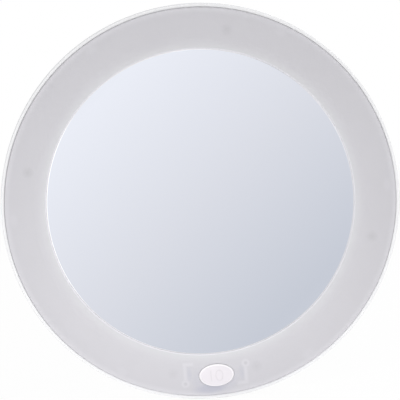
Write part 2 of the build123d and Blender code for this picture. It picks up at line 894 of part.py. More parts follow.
def make_cell(name, place, pole_side):
    """A cell lying along X, with its positive end towards pole_side."""
    level_z = cell_levels[place]
    pole = pole_side * plate_face
    shoulder = pole - pole_side * cell_nub_length
    tail = pole - pole_side * cell_length
    with BuildPart() as cell:
        with BuildSketch(level(level_z)):
            with BuildLine():
                Polyline(
                    (pole, cell_height),
                    (pole, cell_height + cell_nub_diameter / 2),
                    (shoulder, cell_height + cell_nub_diameter / 2),
                    (shoulder, cell_height + cell_radius - cell_crimp),
                    (shoulder - pole_side * cell_crimp, cell_height + cell_radius),
                    (tail + pole_side * cell_crimp, cell_height + cell_radius),
                    (tail, cell_height + cell_radius - cell_crimp),
                    (tail, cell_height),
                    close=True,
                )
            make_face()
        revolve(axis=Axis((0, -cell_height, level_z), (1, 0, 0)))
    finish(cell.part, name)


make_cell("battery_cell_1", "upper", 1)
make_cell("battery_cell_2", "middle", -1)
make_cell("battery_cell_3", "lower", 1)


def make_contact(name, side, cells, sprung_cell, tab_cell):
    """A strip plate behind one or two cells, with a folded leaf and a tab where it has them."""
    levels = [cell_levels[cell] for cell in cells]
    centre = (min(levels) + max(levels)) / 2
    width = max(levels) - min(levels) + plate_width
    with BuildPart() as contact:
        with BuildSketch(beside(side * plate_face)):
            with Locations((centre, leaf_top + plate_height / 2)):
                Rectangle(width, plate_height)
        extrude(amount=side * strip_thickness)
        if sprung_cell:
            middle = plate_face + strip_thickness / 2
            touch = plate_face - spring_length + strip_thickness / 2 - leaf_bend * leaf_fold_share
            with BuildSketch(level(cell_levels[sprung_cell])):
                with BuildLine():
                    FilletPolyline(
                        (side * middle, leaf_top + plate_height / 2),
                        (side * middle, leaf_top),
                        (side * touch, cell_height),
                        (side * (plate_face - leaf_bend), well_depth - leaf_bend),
                        radius=leaf_bend,
                    )
                trace(line_width=strip_thickness)
            extrude(amount=leaf_width / 2, both=True)
        if tab_cell:
            with BuildSketch(beside(side * plate_face)):
                with Locations((cell_levels[tab_cell], tab_height + strip_thickness / 2)):
                    Rectangle(tab_width, strip_thickness)
            extrude(amount=side * (strip_thickness + well_wall + tab_reach))
    finish(contact.part, name)


make_contact("contact_positive", 1, ("upper",), None, "upper")
make_contact("contact_bridge_left", -1, ("upper", "middle"), "upper", None)
make_contact("contact_bridge_right", 1, ("middle", "lower"), "middle", None)
make_contact("contact_negative", -1, ("lower",), "lower", "lower")

with BuildPart() as battery_door:
    with BuildSketch(facing(back_height)) as door_outline:
        door_length = 2 * (well_half_length - door_gap)
        Rectangle(door_length, 2 * (well_half_width - door_gap))
        fillet(door_outline.vertices(), well_corner - door_gap)
        with Locations((0, tab_edge / 2)):
            Rectangle(latch_width, tab_edge)
    extrude(amount=door_wall)
    # stiffening ribs between the cells
    with BuildSketch(facing(back_height + door_wall)):
        with GridLocations(0, cell_pitch, 1, 2):
            Rectangle(cell_length, door_rib_wall)
    extrude(amount=door_rib_height)
    # tongues that reach under the housing's back
    with BuildSketch(facing(back_height + door_wall)):
        with GridLocations(tongue_spacing, 0, 2, 1):
            with Locations((0, well_bottom + door_gap)):
                Rectangle(tongue_width, tongue_reach, align=(Align.CENTER, Align.MIN))
    extrude(amount=tongue_back - back_height - door_wall)
    with BuildSketch(facing(tongue_front)):
        with GridLocations(tongue_spacing, 0, 2, 1):
            with Locations((0, well_bottom - tongue_reach)):
                Rectangle(tongue_width, 2 * tongue_reach, align=(Align.CENTER, Align.MIN))
    extrude(amount=tongue_thickness)
    # grip grooves below the latch
    with BuildSketch(facing(back_height)):
        with Locations((0, well_half_width - grip_count * grip_pitch)):
            with GridLocations(0, grip_pitch, 1, grip_count):
                SlotOverall(grip_length, grip_width)
    extrude(amount=grip_depth, mode=Mode.SUBTRACT)
finish(battery_door.part, "battery_door")

with BuildPart() as door_latch:
    with BuildSketch(beside(0)):
        with BuildLine():
            leg_middle = leg_inner + latch_strip / 2
            finger_middle = finger_inner + latch_strip / 2
            bend_height = floor_height + latch_depth
            leg = Line((leg_middle, back_height + door_wall), (leg_middle, bend_height))
            bend = ThreePointArc(
                leg @ 1,
                ((leg_middle + finger_middle) / 2, bend_height + (finger_middle - leg_middle) / 2),
                (finger_middle, bend_height),
            )
            Line(bend @ 1, (finger_middle, back_height))
        trace(line_width=latch_strip)
        with BuildLine():
            nose_low = floor_height + tongue_gap
            Polyline(
                (finger_middle, nose_low),
                (nose_edge, nose_low),
                (finger_middle, nose_low + hook_nose_height + hook_nose),
                close=True,
            )
        make_face()
        with Locations((finger_outer, back_height)):
            thumb_width = finger_outer - tab_edge - 2 * door_gap
            Rectangle(thumb_width, latch_strip, align=(Align.MAX, Align.MIN))
    extrude(amount=latch_width / 2, both=True)
finish(door_latch.part, "door_latch")

for name, angle in cup_angles.items():
    with BuildPart() as suction_cup:
        with BuildSketch(stand(cup_circle_radius, angle)):
            with BuildLine():
                lip = cup_diameter / 2
                shoulder = cup_shoulder_diameter / 2
                hollow_edge = lip - cup_lip_width
                ball = (hollow_edge**2 + cup_hollow**2) / (2 * cup_hollow)
                hollow_angle = degrees(asin(hollow_edge / ball))
                hollow = CenterArc((0, cup_hollow - ball), ball, -bottom_angle, -hollow_angle)
                dome = SagittaArc(
                    (lip, cup_lip_thickness), (shoulder, back_height - cup_shoulder_height), -cup_dome_bulge
                )
                Polyline(hollow @ 1, (lip, 0), dome @ 0)
                Polyline(
                    dome @ 1,
                    (shoulder, back_height),
                    (cup_neck_diameter / 2, back_height),
                    (cup_neck_diameter / 2, floor_height),
                    (cup_head_diameter / 2, floor_height),
                    (cup_neck_diameter / 2, floor_height + cup_head_height),
                    (0, floor_height + cup_head_height),
                    hollow @ 0,
                )
            make_face()
        revolve(axis=stand_axis(cup_circle_radius, angle))
    finish(suction_cup.part, f"suction_cup_{name}")
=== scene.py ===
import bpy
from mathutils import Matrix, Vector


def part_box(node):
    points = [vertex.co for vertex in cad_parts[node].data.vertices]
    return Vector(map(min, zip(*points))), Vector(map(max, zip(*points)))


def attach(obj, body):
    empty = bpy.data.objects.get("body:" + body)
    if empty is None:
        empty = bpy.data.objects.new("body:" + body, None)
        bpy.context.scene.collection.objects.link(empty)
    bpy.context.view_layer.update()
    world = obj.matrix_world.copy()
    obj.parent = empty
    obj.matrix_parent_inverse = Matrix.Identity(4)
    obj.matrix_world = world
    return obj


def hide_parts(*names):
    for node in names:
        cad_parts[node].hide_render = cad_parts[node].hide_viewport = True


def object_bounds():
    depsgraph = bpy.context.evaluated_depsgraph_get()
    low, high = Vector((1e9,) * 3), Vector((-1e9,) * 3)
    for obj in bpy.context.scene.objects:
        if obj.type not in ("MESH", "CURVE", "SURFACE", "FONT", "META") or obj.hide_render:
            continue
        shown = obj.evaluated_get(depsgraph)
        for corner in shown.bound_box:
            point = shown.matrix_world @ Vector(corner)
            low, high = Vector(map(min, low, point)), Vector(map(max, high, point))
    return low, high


bl_info = {
    "name": "Lighted Makeup Mirror",
    "version": (1, 0, 0),
    "blender": (4, 5, 0),
    "location": "3D View > Sidebar > Mirror",
    "description": "Dresses the packed makeup mirror and sets its studio",
    "category": "Object",
}

import math
from functools import reduce

import bmesh
import bpy
from bpy.props import FloatProperty, FloatVectorProperty, PointerProperty
from bpy.types import Operator, Panel, PropertyGroup
from mathutils import Matrix, Vector

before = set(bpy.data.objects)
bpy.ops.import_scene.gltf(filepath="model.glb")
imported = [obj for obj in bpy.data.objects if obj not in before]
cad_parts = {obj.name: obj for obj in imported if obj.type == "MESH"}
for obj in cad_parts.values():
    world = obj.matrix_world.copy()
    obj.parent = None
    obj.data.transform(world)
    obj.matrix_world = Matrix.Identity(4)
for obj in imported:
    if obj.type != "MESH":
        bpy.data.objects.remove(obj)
cad_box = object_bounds()

MM = 0.001
WHITE = (1.0, 1.0, 1.0)

# Sizes and places on the object, in metres. A place on the front is its X and Z.
RING_MIDDLE = 103.3 * MM
RING_OPENING = 90.9 * MM
RING_OUTSIDE = 115.55 * MM
HOOK_CIRCLE = 110.55 * MM
HOOK_STEP = math.radians(60.0)
GLASS_EDGE = 90.88 * MM
GLASS_BALL = 900.0 * MM
GLASS_THICK = 2.0 * MM
BUTTON_MIDDLE = (0.0, -RING_MIDDLE)
BUTTON_OVAL = (10.4 * MM, 6.6 * MM)
BUTTON_BALL = 60.0 * MM
BUTTON_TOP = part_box("power_button")[0].y
BUTTON_ROUNDING = 0.3 * MM
HOLE_WALL_LIGHT_REACH = 1.5 * MM
LED_CUP = 29.0 * MM
LED_CUP_FADE = (-0.6 * MM, 1.2 * MM)
TRACK_STEP = 3.2 * MM
TRACK_FADE = (0.45 * MM, 0.6 * MM)
RESISTOR_CIRCLE = 107.4 * MM
BACK_FACE = -10.0 * MM
CELL_RADIUS = 5.25 * MM
CELL_LENGTH = 44.5 * MM

# Painted light and shade for what shows through the frosted ring. An LED has its angle in degrees,
# from the button towards the user's right, and the strength of its painted shade. The boss and the L
# rib on one side of the button are placed from a middle close to it, and turned half round for the other
# side.
LED_SHADE_SPOTS = ((13.45, 0.65), (73.3, 0.97), (166.3, 0.87), (254.5, 0.95), (-14.3, 0.48))
MARKS_MIDDLE = (-0.5 * MM, 0.85 * MM - RING_MIDDLE)
BOSS_SPOT = (18.25 * MM, 4.6 * MM)
RIB_CORNER = (17.95 * MM, -6.9 * MM)
RIB_LEG = 9.5 * MM
RIB_FOOT = 5.2 * MM
RIB_HALF = 0.9 * MM
RIB_BLUR = 0.8 * MM

# Soft edges, each with the distance past its line where it starts to fade and the one where
# it is gone
SLOPE_FADE = (-1.0 * MM, 5.8 * MM)
OUTER_FADE = (-4.0 * MM, -0.6 * MM)
LIP_FADE = (0.2 * MM, 0.9 * MM)
BEVEL_FADE = (0.05 * MM, -0.05 * MM)
BACK_FADE = (-0.6 * MM, -0.1 * MM)
SLEEVE_FADE = (-0.55 * MM, -0.45 * MM)
GOLD_FADE = (-0.05 * MM, 0.05 * MM)

# Soft spots, each with the radius where it starts to fade and the one where it is gone
BACK_FLAT_FADE = (94.0 * MM, 97.0 * MM)
LED_FADE = (1.6 * MM, 4.2 * MM)
LED_CORE_FADE = (0.4 * MM, 1.8 * MM)
BOSS_FADE = (1.7 * MM, 3.1 * MM)
SCREW_FADE = (0.5 * MM, 1.5 * MM)
HOOK_FADE = (0.8 * MM, 3.2 * MM)
HOOK_SQUEEZE = 0.5916

# Soft ovals, each with its middle and half sizes
SWITCH_SHADOW = ((-1.0 * MM, -3.0 * MM - RING_MIDDLE), (17.0 * MM, 10.5 * MM))
BOARD_SHADOW = ((-4.0 * MM, -7.6 * MM - RING_MIDDLE), (13.5 * MM, 4.4 * MM))
RIB_SHADOW = ((15.6 * MM, -1.0 * MM), (2.6 * MM, 6.5 * MM))

# The on and off mark on the button's crown, and the arrow on the door
MARK_STROKE = 0.35 * MM
MARK_PROUD = 0.045 * MM
LINE_PLACE = -3.3 * MM
LOOP_PLACE = 1.6 * MM
LOOP_HALF = 2.1 * MM
ARROW = ((-2.6 * MM, 1.6 * MM), (2.6 * MM, 1.6 * MM), (0, -1.9 * MM))
ARROW_THICK = 0.35 * MM
ARROW_ROUNDING = 0.1 * MM
ARROW_SUNK = 0.05 * MM
ARROW_PLACE = 4.0 * MM

# A cell's two ends in millimetres, as distances from that end with their radii
POLE_END = (
    (0, 0), (0, 1.45), (0.12, 1.78), (0.35, 1.9), (0.8, 1.9), (0.84, 3.0), (0.95, 4.45),
    (0.85, 4.6), (0.86, 4.85), (1.05, 5.1), (1.4, 5.22), (1.8, 5.25),
)
FLAT_END = (
    (1.8, 5.25), (1.2, 5.22), (0.85, 5.1), (0.62, 4.85), (0.62, 4.65), (0.75, 4.5),
    (0.5, 4.3), (0.1, 4.1), (0, 3.9), (0, 2.9), (0.15, 2.7), (0.15, 0),
)

# The print on a cell, along it from the positive end
GOLD_END = 9.0 * MM
LINE_ALONG = 9.7 * MM
PLUS_ALONG = 5.2 * MM
MINUS_ALONG = CELL_LENGTH - 4.6 * MM
PRINT_LENGTH_FADE = (1.05 * MM, 1.12 * MM)
PRINT_STROKE_FADE = (0.22 * MM, 0.28 * MM)
PRINT_LINE_FADE = (0.16 * MM, 0.22 * MM)

# The studio. What gloss reflects falls off along a slanted direction, and a soft bright
# panel in front, low on the left, shows in the bevel of the glass.
FALL_UP = 0.772
FALL_ACROSS = 0.636
FALL_REACH = 0.8
REFLECTED_GREYS = (
    (0.0, (0.74, 0.75, 0.77)), (0.22, (0.74, 0.75, 0.77)), (0.3238, (0.923, 0.924, 0.949)),
    (0.4189, (0.784, 0.783, 0.807)), (0.5141, (0.628, 0.645, 0.686)), (0.6375, (0.8, 0.8, 0.83)),
    (1.0, (0.93, 0.93, 0.95)),
)
PANEL_OVAL = ((-0.44, -0.14), (0.15, 0.48))
PANEL_FULL = 0.4
PANEL_FRONT_FADE = (-0.3, 0.0)
PANEL_LIGHT = (1.2, 1.2, 1.2)
KEY_LAMP = {"place": (0.12, -0.95, 0.88), "aim": (0.0, -0.03, 0.0), "size": 0.7}
FILL_LAMP = {"place": (-0.03, -0.25, -0.055), "aim": (-0.03, -0.03, -0.055), "size": 0.1}
BACK_LAMP = {"place": (0.75, 0.6, 0.8), "aim": (0.0, 0.0, 0.0), "size": 0.8}
FLOOR_HALF = 0.9
FLOOR_DROP = 0.2 * MM
FLOOR_GLOW = 0.955
CAMERA_AIM = (-0.25 * MM, -35.0 * MM, 1.5 * MM)


def ball_sag(ball, radius):
    """How far a ball's surface lies from a plane on its nearest point, at a radius."""
    return ball - math.sqrt(ball**2 - radius**2)


def on_ring(turn):
    """The X and Z on the ring's middle line at an angle from the button."""
    return RING_MIDDLE * math.sin(math.radians(turn)), -RING_MIDDLE * math.cos(math.radians(turn))


def grown(half, by):
    """An oval's half sizes, both changed by the same length."""
    return half[0] + by, half[1] + by


def tinted(colour, tint):
    """A colour with each channel multiplied by its own factor."""
    return tuple(min(1.0, channel * factor) for channel, factor in zip(colour, tint))


def shade(colour, factor):
    """A colour made lighter or darker."""
    return tinted(colour, (factor, factor, factor))


class Signal:
    """A shader socket that takes part in sums, products and masks."""

    def __init__(self, finish, socket):
        self.finish = finish
        self.socket = socket

    def maths(self, operation, *values):
        """A Math node on values, which may be signals or numbers."""
        return self.finish.node("ShaderNodeMath", {"operation": operation}, dict(enumerate(values)))

    def __add__(self, other):
        return self.maths("ADD", self, other)

    __radd__ = __add__

    def __sub__(self, other):
        return self.maths("SUBTRACT", self, other)

    def __rsub__(self, other):
        return self.maths("SUBTRACT", other, self)

    def __mul__(self, other):
        return self.maths("MULTIPLY", self, other)

    __rmul__ = __mul__

    def __truediv__(self, other):
        return self.maths("DIVIDE", self, other)

    def __pow__(self, other):
        return self.maths("POWER", self, other)

    def __abs__(self):
        return self.maths("ABSOLUTE", self)

    def highest(self, other):
        """The higher of two values at each point."""
        return self.maths("MAXIMUM", self, other)

    def lowest(self, other):
        """The lower of two values at each point."""
        return self.maths("MINIMUM", self, other)

    def turn_from(self, other):
        """How far a point is turned from the other direction towards this one."""
        return self.maths("ARCTAN2", self, other)

    def wrapped(self, step):
        """This value folded into the range from minus half a step to plus half a step."""
        return self.maths("WRAP", self, step / 2, -step / 2)

    def fades(self, start, end):
        """A mask that goes smoothly from 1 at start to 0 at end."""
        inputs = {"Value": self, "From Min": start, "From Max": end, "To Min": 1.0, "To Max": 0.0}
        return self.finish.node("ShaderNodeMapRange", {"interpolation_type": "SMOOTHSTEP"}, inputs)


class Finish:
    """The nodes of a material, or of the world."""

    def __init__(self, name, store=None):
        self.owner = (bpy.data.materials if store is None else store).new(name)
        self.owner.use_nodes = True
        self.tree = self.owner.node_tree

    def node(self, kind, settings=None, inputs=None, output=0):
        """Any node: its settings first, then the values or links of its sockets."""
        node = self.tree.nodes.new(kind)
        for key, value in (settings or {}).items():
            if key == "stops":
                self.fill_ramp(node.color_ramp, value)
            else:
                setattr(node, key, value)
        for key, value in (inputs or {}).items():
            self.feed(node.inputs[key], value)
        return Signal(self, node.outputs[output])

    @staticmethod
    def fill_ramp(ramp, stops):
        """Give a colour ramp its stops, each a position with a colour."""
        while len(ramp.elements) < len(stops):
            ramp.elements.new(0.5)
        for element, (position, colour) in zip(ramp.elements, stops):
            element.position = position
            element.color = (*colour, 1.0)

    def feed(self, socket, value):
        """Link a signal to a socket, or set the socket's own value."""
        if isinstance(value, Signal):
            self.tree.links.new(value.socket, socket)
        elif socket.type == "RGBA" and len(value) == 3:
            socket.default_value = (*value, 1.0)
        else:
            socket.default_value = value

    def set(self, **values):
        """Feed sockets of the Principled shader, named with underscores for spaces."""
        shader = self.tree.nodes["Principled BSDF"]
        for key, value in values.items():
            self.feed(shader.inputs[key.replace("_", " ")], value)
        return self

    def place(self):
        """The point on the surface, in the object's own metres."""
        return self.node("ShaderNodeTexCoord", output="Object")

    def facing(self):
        """The direction that the surface faces."""
        return self.node("ShaderNodeTexCoord", output="Normal")

    def parts(self, vector):
        """The X, Y and Z of a vector."""
        split = self.node("ShaderNodeSeparateXYZ", None, {0: vector}).socket.node
        return [Signal(self, output) for output in split.outputs]

    def noise(self, scale, detail=3.0, roughness=0.5, place=None):
        """Soft noise from about 0.3 to 0.7, finer as the scale goes up."""
        inputs = {
            "Vector": place or self.place(), "Scale": scale, "Detail": detail, "Roughness": roughness,
        }
        return self.node("ShaderNodeTexNoise", None, inputs)

    def blend(self, mask, low, high):
        """A colour between two colours."""
        settings = {"data_type": "RGBA", "blend_type": "MIX"}
        return self.node("ShaderNodeMix", settings, {0: mask, 6: low, 7: high}, output=2)

    def layered(self, tone, *layers):
        """A colour with others laid over it in turn, each by its own mask."""
        for mask, colour in layers:
            tone = self.blend(mask, tone, colour)
        return tone

    def bump(self, height, distance, strength, normal=None):
        """A normal raised by a height times a distance, over another one if given."""
        inputs = {"Height": height, "Distance": distance, "Strength": strength}
        if normal is not None:
            inputs["Normal"] = normal
        return self.node("ShaderNodeBump", None, inputs)


# Masks


def reach(across, up):
    """The distance from a middle, from the distances across and up."""
    return (across * across + up * up) ** 0.5


def past(value, low, high):
    """How far a value lies outside a range, and less than zero inside it."""
    return abs(value - (low + high) / 2) - (high - low) / 2


def spot_mask(x, z, middle, fade):
    """A soft round spot."""
    return reach(x - middle[0], z - middle[1]).fades(*fade)


def oval_mask(x, z, oval, start):
    """A soft oval that is full up to a share of its half sizes and gone at them."""
    middle, half = oval
    return reach((x - middle[0]) / half[0], (z - middle[1]) / half[1]).fades(start, 1.0)


def bar_mask(x, z, across, up, blur):
    """A soft upright rectangle, from its ranges of X and Z."""
    return past(x, *across).highest(past(z, *up)).fades(-blur, blur)


def led_shade_mask(x, z):
    """Painted shade: a round spot with a stronger core at each LED, where it shows through the ring."""
    spots = []
    for turn, strength in LED_SHADE_SPOTS:
        middle = on_ring(turn)
        body = spot_mask(x, z, middle, LED_FADE) * 0.6
        core = spot_mask(x, z, middle, LED_CORE_FADE) * 0.4
        spots.append((body + core) * strength)
    return reduce(Signal.highest, spots)


def boss_light_and_shade_masks(x, z):
    """Painted light where each boss and L rib shows through, painted shade at each screw's end in its boss,
    and the painted shadow inside each rib.
    """
    corner_x, corner_z = RIB_CORNER
    leg_ranges = ((corner_x - RIB_HALF, corner_x + RIB_HALF), (corner_z, corner_z + RIB_LEG))
    foot_ranges = ((corner_x - RIB_FOOT, corner_x + RIB_HALF), (corner_z - RIB_HALF, corner_z + RIB_HALF))
    marks, ends, shadows = [], [], []
    for side in (-1, 1):
        across = (x - MARKS_MIDDLE[0]) * side
        up = (z - MARKS_MIDDLE[1]) * side
        boss = spot_mask(across, up, BOSS_SPOT, BOSS_FADE)
        leg = bar_mask(across, up, *leg_ranges, RIB_BLUR)
        foot = bar_mask(across, up, *foot_ranges, RIB_BLUR)
        marks.append(boss.highest(leg).highest(foot))
        ends.append(spot_mask(across, up, BOSS_SPOT, SCREW_FADE))
        shadows.append(oval_mask(across, up, RIB_SHADOW, 0.1))
    return [reduce(Signal.highest, masks) for masks in (marks, ends, shadows)]


def hook_light_mask(x, z):
    """Painted light where the six snap hooks show through, each a spot drawn out along the ring."""
    turn = x.turn_from(z * -1.0)
    along = (turn + HOOK_STEP / 2).wrapped(HOOK_STEP) * HOOK_CIRCLE
    return reach(along * HOOK_SQUEEZE, reach(x, z) - HOOK_CIRCLE).fades(*HOOK_FADE)


# Finishes


def moulded_plastic(name, colour, gloss, grain=0.02 * MM, oval=None):
    """Glossy injection-moulded plastic with a soft ripple and a little handling wear.
    An oval piece, given by its middle and half sizes, has a painted highlight: whiter at its rounded rim
    and side wall, which also lightens the gap's shade."""
    finish = Finish(name)
    cloud = finish.noise(14.0)
    ripple = finish.noise(160.0, detail=2.0)
    fine = finish.noise(2600.0, detail=2.0)
    tone = finish.blend(cloud.fades(0.3, 0.7), colour, shade(colour, 0.965))
    if oval:
        x, _, z = finish.parts(finish.place())
        # painted highlight: whiter at the rounded rim and side wall, also lightening the gap's shade
        painted_rim_highlight = (0.96, 0.94, 0.96)
        tone = finish.blend(oval_mask(x, z, oval, 0.9), painted_rim_highlight, tone)
    waves = finish.bump(ripple, 0.06 * MM, strength=0.35)
    return finish.set(
        Base_Color=tone,
        Roughness=gloss + (ripple - 0.5) * 0.08 + (fine - 0.5) * 0.05,
        IOR=1.49,
        Normal=finish.bump(fine, grain, strength=0.6, normal=waves),
    )


def housing_plastic(colours):
    """White gloss at the rim and side, and a fine spark-eroded grain on the flat back."""
    finish = Finish("housing_white")
    x, y, z = finish.parts(finish.place())
    back = (1.0 - (y - BACK_FACE).fades(*BACK_FADE)) * reach(x, z).fades(*BACK_FLAT_FADE)
    cloud = finish.noise(11.0)
    fine = finish.noise(2400.0, roughness=0.6)
    ripple = finish.noise(120.0, detail=2.0)
    scuff = finish.noise(55.0, detail=6.0, roughness=0.7)
    white = colours.housing
    tone = finish.layered(
        white,
        (cloud.fades(0.3, 0.7), shade(white, 0.97)),
        ((1.0 - scuff.fades(0.62, 0.74)) * 0.25, shade(white, 0.9)),
    )
    grain = fine * (back * 0.85 + 0.15)
    waves = finish.bump(ripple, 0.05 * MM, strength=0.3)
    return finish.set(
        Base_Color=tone,
        Roughness=0.26 + back * 0.26 + (fine - 0.5) * 0.06 + (scuff - 0.5) * 0.1,
        IOR=1.49,
        Normal=finish.bump(grain, 0.04 * MM, strength=0.6, normal=waves),
    )


def frosted_plastic(colours):
    """The lit ring's frosted cover, with painted light and shade: what stands behind shows through as soft
    painted marks, and the ring is painted lighter towards the glass, at its outside edge, at its inner rim
    and on the walls of the button's hole.
    """
    finish = Finish("diffuser_frosted")
    x, _, z = finish.parts(finish.place())
    radius = reach(x, z)
    front = finish.parts(finish.facing())[1].fades(-0.6, -0.3)
    boss_light, screw_end_shade, rib_shadows = boss_light_and_shade_masks(x, z)
    shadow = oval_mask(x, z, SWITCH_SHADOW, 0.55) * 0.4
    shadow = shadow.highest(oval_mask(x, z, BOARD_SHADOW, 0.3)).highest(rib_shadows * 0.5)
    # painted light: lighter towards the glass and at the outside edge; painted highlights on the inner rim
    # and the button hole's walls
    slope_light = (radius - RING_OPENING).fades(*SLOPE_FADE)
    outer_light = 1.0 - (radius - RING_OUTSIDE).fades(*OUTER_FADE)
    lip_highlight = (radius - RING_OPENING).fades(*LIP_FADE)
    hole_wall_light = oval_mask(x, z, (BUTTON_MIDDLE, grown(BUTTON_OVAL, HOLE_WALL_LIGHT_REACH)), 0.95)
    cloud = finish.noise(16.0)
    grain = finish.noise(1500.0, roughness=0.65)
    plain = colours.diffuser
    # painted shadows of the switch, board and ribs, and painted light and shade where hooks, each boss,
    # screw ends and LEDs show through
    tone = finish.layered(
        plain,
        (cloud.fades(0.32, 0.68), shade(plain, 0.985)),
        (slope_light * front, tinted(plain, (1.1, 1.12, 1.09))),
        (outer_light * front, shade(plain, 1.09)),
        (lip_highlight, shade(plain, 1.3)),
        (hole_wall_light * (1.0 - front), WHITE),
        (shadow * front, tinted(plain, (0.84, 0.86, 0.93))),
        (hook_light_mask(x, z) * 0.35 * front, shade(plain, 1.1)),
        (boss_light * 0.7 * front, shade(plain, 1.12)),
        (screw_end_shade * 0.55 * front, shade(plain, 0.82)),
        (led_shade_mask(x, z) * front, shade(plain, 0.88)),
        (grain.fades(0.35, 0.65) * 0.25, shade(plain, 1.04)),
    )
    return finish.set(
        Base_Color=tone,
        Roughness=0.5 + (grain - 0.5) * 0.14,
        IOR=1.58,
        Specular_IOR_Level=0.35,
        Normal=finish.bump(grain, 0.03 * MM, strength=0.5),
    )


def silvered_glass(colours, sizes):
    """Silvering, a polished bevel painted white for a brighter painted glint, and a grey painted back."""
    finish = Finish("mirror_silver")
    _, y, z = finish.parts(finish.place())
    silver = finish.parts(finish.facing())[0].fades(-0.9, -0.7)
    bevel = (reach(y, z) - (GLASS_EDGE - sizes.bevel_width)).fades(*BEVEL_FADE)
    smear = finish.noise(9.0, detail=4.0, roughness=0.6)
    paint = finish.noise(700.0)
    backing = finish.blend(paint, (0.32, 0.34, 0.36), (0.37, 0.39, 0.4))
    # painted glint: the bevel reflects in white, brighter than the silvering's tint
    front = finish.blend(bevel, colours.glass, WHITE)
    return finish.set(
        Base_Color=finish.blend(silver, backing, front),
        Metallic=silver,
        Roughness=0.5 - silver * (0.485 - bevel * 0.03 - smear * 0.012),
        IOR=1.52,
    )


def tape_foam():
    """Closed-cell foam tape."""
    finish = Finish("tape_foam")
    cells = finish.node(
        "ShaderNodeTexVoronoi", {"feature": "F1"}, {"Vector": finish.place(), "Scale": 2600.0}
    )
    grey = (0.62, 0.62, 0.6)
    return finish.set(
        Base_Color=finish.blend(cells, grey, shade(grey, 0.8)),
        Roughness=0.9,
        Normal=finish.bump(cells, 0.08 * MM, strength=0.8),
    )


def plated_metal(name, colour, gloss):
    """Plated or rolled metal with fine drawn lines and faint staining."""
    finish = Finish(name)
    drawn = (1.0, 1.0, 14.0)
    stretch = finish.node(
        "ShaderNodeVectorMath", {"operation": "MULTIPLY"}, {0: finish.place(), 1: drawn}
    )
    lines = finish.noise(900.0, detail=4.0, roughness=0.6, place=stretch)
    stain = finish.noise(180.0, detail=4.0)
    return finish.set(
        Base_Color=finish.blend(stain.fades(0.35, 0.7), colour, shade(colour, 0.84)),
        Metallic=1.0,
        Roughness=gloss + (lines - 0.5) * 0.18,
        Normal=finish.bump(lines, 0.01 * MM, strength=0.5),
    )


def solder_mask():
    """A white circuit board: copper tracks under the mask, fibre at its cut edge."""
    finish = Finish("board_white")
    x, _, z = finish.parts(finish.place())
    track = abs((reach(x, z) - RING_MIDDLE).wrapped(TRACK_STEP)).fades(*TRACK_FADE)
    edge = abs(finish.parts(finish.facing())[1]).fades(0.3, 0.7)
    fibre = finish.noise(1800.0, detail=4.0)
    tone = finish.layered(
        (0.82, 0.83, 0.79),
        (track * 0.5, (0.7, 0.72, 0.62)),
        (edge, (0.6, 0.56, 0.36)),
        (fibre.fades(0.35, 0.65) * 0.2, (0.74, 0.73, 0.62)),
    )
    return finish.set(
        Base_Color=tone,
        Roughness=0.34 + edge * 0.4,
        Normal=finish.bump(track, 0.03 * MM, strength=0.6),
    )


def led_lens():
    """An unlit white LED: clear epoxy over its yellow phosphor cup."""
    finish = Finish("led_lens")
    _, y, _ = finish.parts(finish.place())
    cup = (abs(y) - LED_CUP).fades(*LED_CUP_FADE)
    haze = finish.noise(700.0)
    tone = finish.layered(
        (0.88, 0.88, 0.82),
        (cup, (0.86, 0.72, 0.22)),
        (haze * 0.2, (0.95, 0.94, 0.85)),
    )
    return finish.set(
        Base_Color=tone,
        Roughness=0.12 + haze * 0.06,
        IOR=1.54,
        Coat_Weight=0.6,
        Coat_Roughness=0.05,
    )


def resistor_glaze():
    """The black glaze of the chip resistors, a little duller on the side towards the glass."""
    finish = Finish("resistor_black")
    x, _, z = finish.parts(finish.place())
    inner = (reach(x, z) - RESISTOR_CIRCLE).fades(-0.1 * MM, 0.1 * MM)
    speck = finish.noise(3000.0, detail=2.0)
    return finish.set(
        Base_Color=finish.blend(speck, (0.02, 0.02, 0.022), (0.05, 0.05, 0.055)),
        Roughness=0.22 + speck * 0.1 + inner * 0.05,
        Normal=finish.bump(speck, 0.01 * MM, strength=0.5),
    )


def lead_jacket(name, colour):
    """Soft extruded insulation with a dusty bloom."""
    finish = Finish(name)
    bloom = finish.noise(260.0, detail=5.0, roughness=0.65)
    fine = finish.noise(3000.0, detail=2.0)
    dusty = tuple(0.86 * channel + 0.06 for channel in colour)
    return finish.set(
        Base_Color=finish.blend(bloom.fades(0.62, 0.4), colour, dusty),
        Roughness=0.46 + (bloom - 0.5) * 0.2,
        IOR=1.5,
        Normal=finish.bump(fine, 0.02 * MM, strength=0.5),
    )


